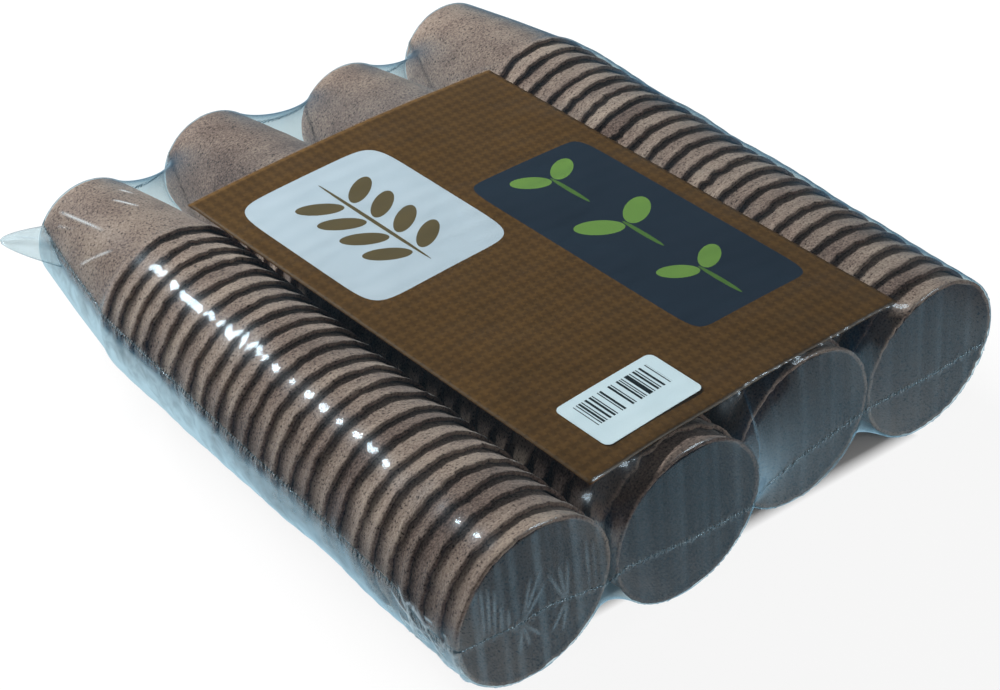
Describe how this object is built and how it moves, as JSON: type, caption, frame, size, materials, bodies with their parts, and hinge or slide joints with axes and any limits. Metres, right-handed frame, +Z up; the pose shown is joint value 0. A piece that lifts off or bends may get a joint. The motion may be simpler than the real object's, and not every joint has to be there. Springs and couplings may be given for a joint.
{
  "type": "wrapped pack of fibre pots",
  "caption": "Shrink-wrapped pack of round moulded-fibre plant pots, nested in side-by-side stacks lying flat, with a brown card under the clear film on top.",
  "frame": {"origin": "middle of the underside of the whole pack, on the surface it lies on", "axes": "+Z up from the surface, +X across the stacks to the right as the mouths are faced, -Y the way the pot mouths face"},
  "size_m": [0.2547, 0.2818, 0.0621],
  "materials": {
    "moulded_fibre": "rough brown-grey moulded peat and wood fibre, felted and matte",
    "printed_card": "brown printed card with a basket-weave ground, satin",
    "white_sticker": "white self-adhesive paper, satin",
    "shrink_film": "clear thin shrink film, glossy with wrinkles"
  },
  "bodies": {
    "root": {"card_sticker": "white_sticker", "film_lower": "shrink_film", "film_upper": "shrink_film", "label_card": "printed_card", "pot_left_front": "moulded_fibre", "pot_left_rear": "moulded_fibre", "pot_mid_left_front": "moulded_fibre", "pot_mid_left_rear": "moulded_fibre", "pot_mid_right_front": "moulded_fibre", "pot_mid_right_rear": "moulded_fibre", "pot_right_front": "moulded_fibre", "pot_right_rear": "moulded_fibre", "pots_left_02_03": "moulded_fibre", "pots_left_04_05": "moulded_fibre", "pots_left_06_07": "moulded_fibre", "pots_left_08_09": "moulded_fibre", "pots_left_10_11": "moulded_fibre", "pots_left_12_13": "moulded_fibre", "pots_left_14_15": "moulded_fibre", "pots_left_16_17": "moulded_fibre", "pots_left_18_19": "moulded_fibre", "pots_left_20_21": "moulded_fibre", "pots_left_22_23": "moulded_fibre", "pots_mid_left_02_03": "moulded_fibre", "pots_mid_left_04_05": "moulded_fibre", "pots_mid_left_06_07": "moulded_fibre", "pots_mid_left_08_09": "moulded_fibre", "pots_mid_left_10_11": "moulded_fibre", "pots_mid_left_12_13": "moulded_fibre", "pots_mid_left_14_15": "moulded_fibre", "pots_mid_left_16_17": "moulded_fibre", "pots_mid_left_18_19": "moulded_fibre", "pots_mid_left_20_21": "moulded_fibre", "pots_mid_left_22_23": "moulded_fibre", "pots_mid_right_02_03": "moulded_fibre", "pots_mid_right_04_05": "moulded_fibre", "pots_mid_right_06_07": "moulded_fibre", "pots_mid_right_08_09": "moulded_fibre", "pots_mid_right_10_11": "moulded_fibre", "pots_mid_right_12_13": "moulded_fibre", "pots_mid_right_14_15": "moulded_fibre", "pots_mid_right_16_17": "moulded_fibre", "pots_mid_right_18_19": "moulded_fibre", "pots_mid_right_20_21": "moulded_fibre", "pots_mid_right_22_23": "moulded_fibre", "pots_right_02_03": "moulded_fibre", "pots_right_04_05": "moulded_fibre", "pots_right_06_07": "moulded_fibre", "pots_right_08_09": "moulded_fibre", "pots_right_10_11": "moulded_fibre", "pots_right_12_13": "moulded_fibre", "pots_right_14_15": "moulded_fibre", "pots_right_16_17": "moulded_fibre", "pots_right_18_19": "moulded_fibre", "pots_right_20_21": "moulded_fibre", "pots_right_22_23": "moulded_fibre"}
  },
  "joints": []
}
